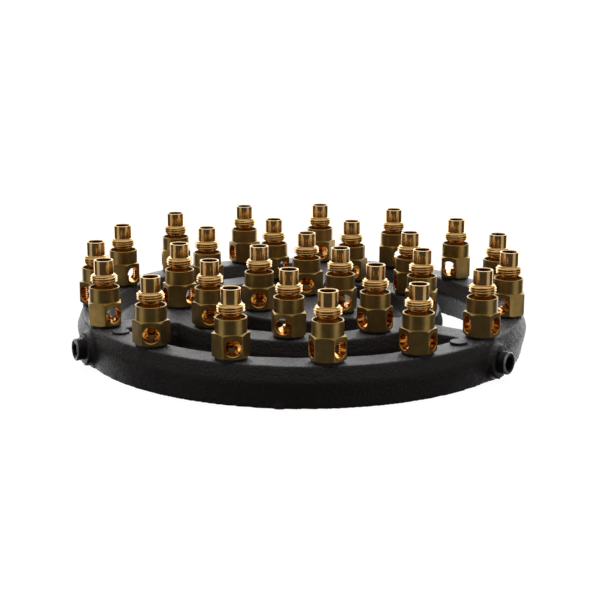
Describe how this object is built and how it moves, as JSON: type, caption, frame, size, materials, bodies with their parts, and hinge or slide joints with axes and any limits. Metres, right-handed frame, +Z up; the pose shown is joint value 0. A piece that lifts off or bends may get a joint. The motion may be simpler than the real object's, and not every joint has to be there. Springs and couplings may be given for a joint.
{
  "type": "multi-jet gas ring burner",
  "caption": "Round cast-iron gas manifold of two rings and a hub joined by spokes, carrying upright brass jets with air holes; for a high-output cooking range.",
  "frame": {"origin": "centre of the gas inlet in the flat underside", "axes": "+Z up along the inlet's axis, towards the jets; -Y to the front, midway between two spokes"},
  "size_m": [0.2837, 0.2915, 0.0655],
  "materials": {
    "cast_iron": "sand-cast, blackened, finely pitted",
    "black_oxide_steel": "black oxide, edges rubbed bright",
    "brass_bar": "satin drawn flats, turned collar",
    "brass_turned": "bright turned",
    "brass_spud": "turned"
  },
  "bodies": {
    "root": {"inner_jet_body_01": "brass_bar", "inner_jet_body_02": "brass_bar", "inner_jet_body_03": "brass_bar", "inner_jet_nozzle_01": "brass_turned", "inner_jet_nozzle_02": "brass_turned", "inner_jet_nozzle_03": "brass_turned", "manifold_casting": "cast_iron", "middle_jet_body_01": "brass_bar", "middle_jet_body_02": "brass_bar", "middle_jet_body_03": "brass_bar", "middle_jet_body_04": "brass_bar", "middle_jet_body_05": "brass_bar", "middle_jet_body_06": "brass_bar", "middle_jet_body_07": "brass_bar", "middle_jet_body_08": "brass_bar", "middle_jet_body_09": "brass_bar", "middle_jet_nozzle_01": "brass_turned", "middle_jet_nozzle_02": "brass_turned", "middle_jet_nozzle_03": "brass_turned", "middle_jet_nozzle_04": "brass_turned", "middle_jet_nozzle_05": "brass_turned", "middle_jet_nozzle_06": "brass_turned", "middle_jet_nozzle_07": "brass_turned", "middle_jet_nozzle_08": "brass_turned", "middle_jet_nozzle_09": "brass_turned", "orifice_spuds": "brass_spud", "outer_jet_body_01": "brass_bar", "outer_jet_body_02": "brass_bar", "outer_jet_body_03": "brass_bar", "outer_jet_body_04": "brass_bar", "outer_jet_body_05": "brass_bar", "outer_jet_body_06": "brass_bar", "outer_jet_body_07": "brass_bar", "outer_jet_body_08": "brass_bar", "outer_jet_body_09": "brass_bar", "outer_jet_body_10": "brass_bar", "outer_jet_body_11": "brass_bar", "outer_jet_body_12": "brass_bar", "outer_jet_body_13": "brass_bar", "outer_jet_body_14": "brass_bar", "outer_jet_body_15": "brass_bar", "outer_jet_nozzle_01": "brass_turned", "outer_jet_nozzle_02": "brass_turned", "outer_jet_nozzle_03": "brass_turned", "outer_jet_nozzle_04": "brass_turned", "outer_jet_nozzle_05": "brass_turned", "outer_jet_nozzle_06": "brass_turned", "outer_jet_nozzle_07": "brass_turned", "outer_jet_nozzle_08": "brass_turned", "outer_jet_nozzle_09": "brass_turned", "outer_jet_nozzle_10": "brass_turned", "outer_jet_nozzle_11": "brass_turned", "outer_jet_nozzle_12": "brass_turned", "outer_jet_nozzle_13": "brass_turned", "outer_jet_nozzle_14": "brass_turned", "outer_jet_nozzle_15": "brass_turned", "pipe_plug_1": "black_oxide_steel", "pipe_plug_2": "black_oxide_steel", "pipe_plug_3": "black_oxide_steel"}
  },
  "joints": []
}
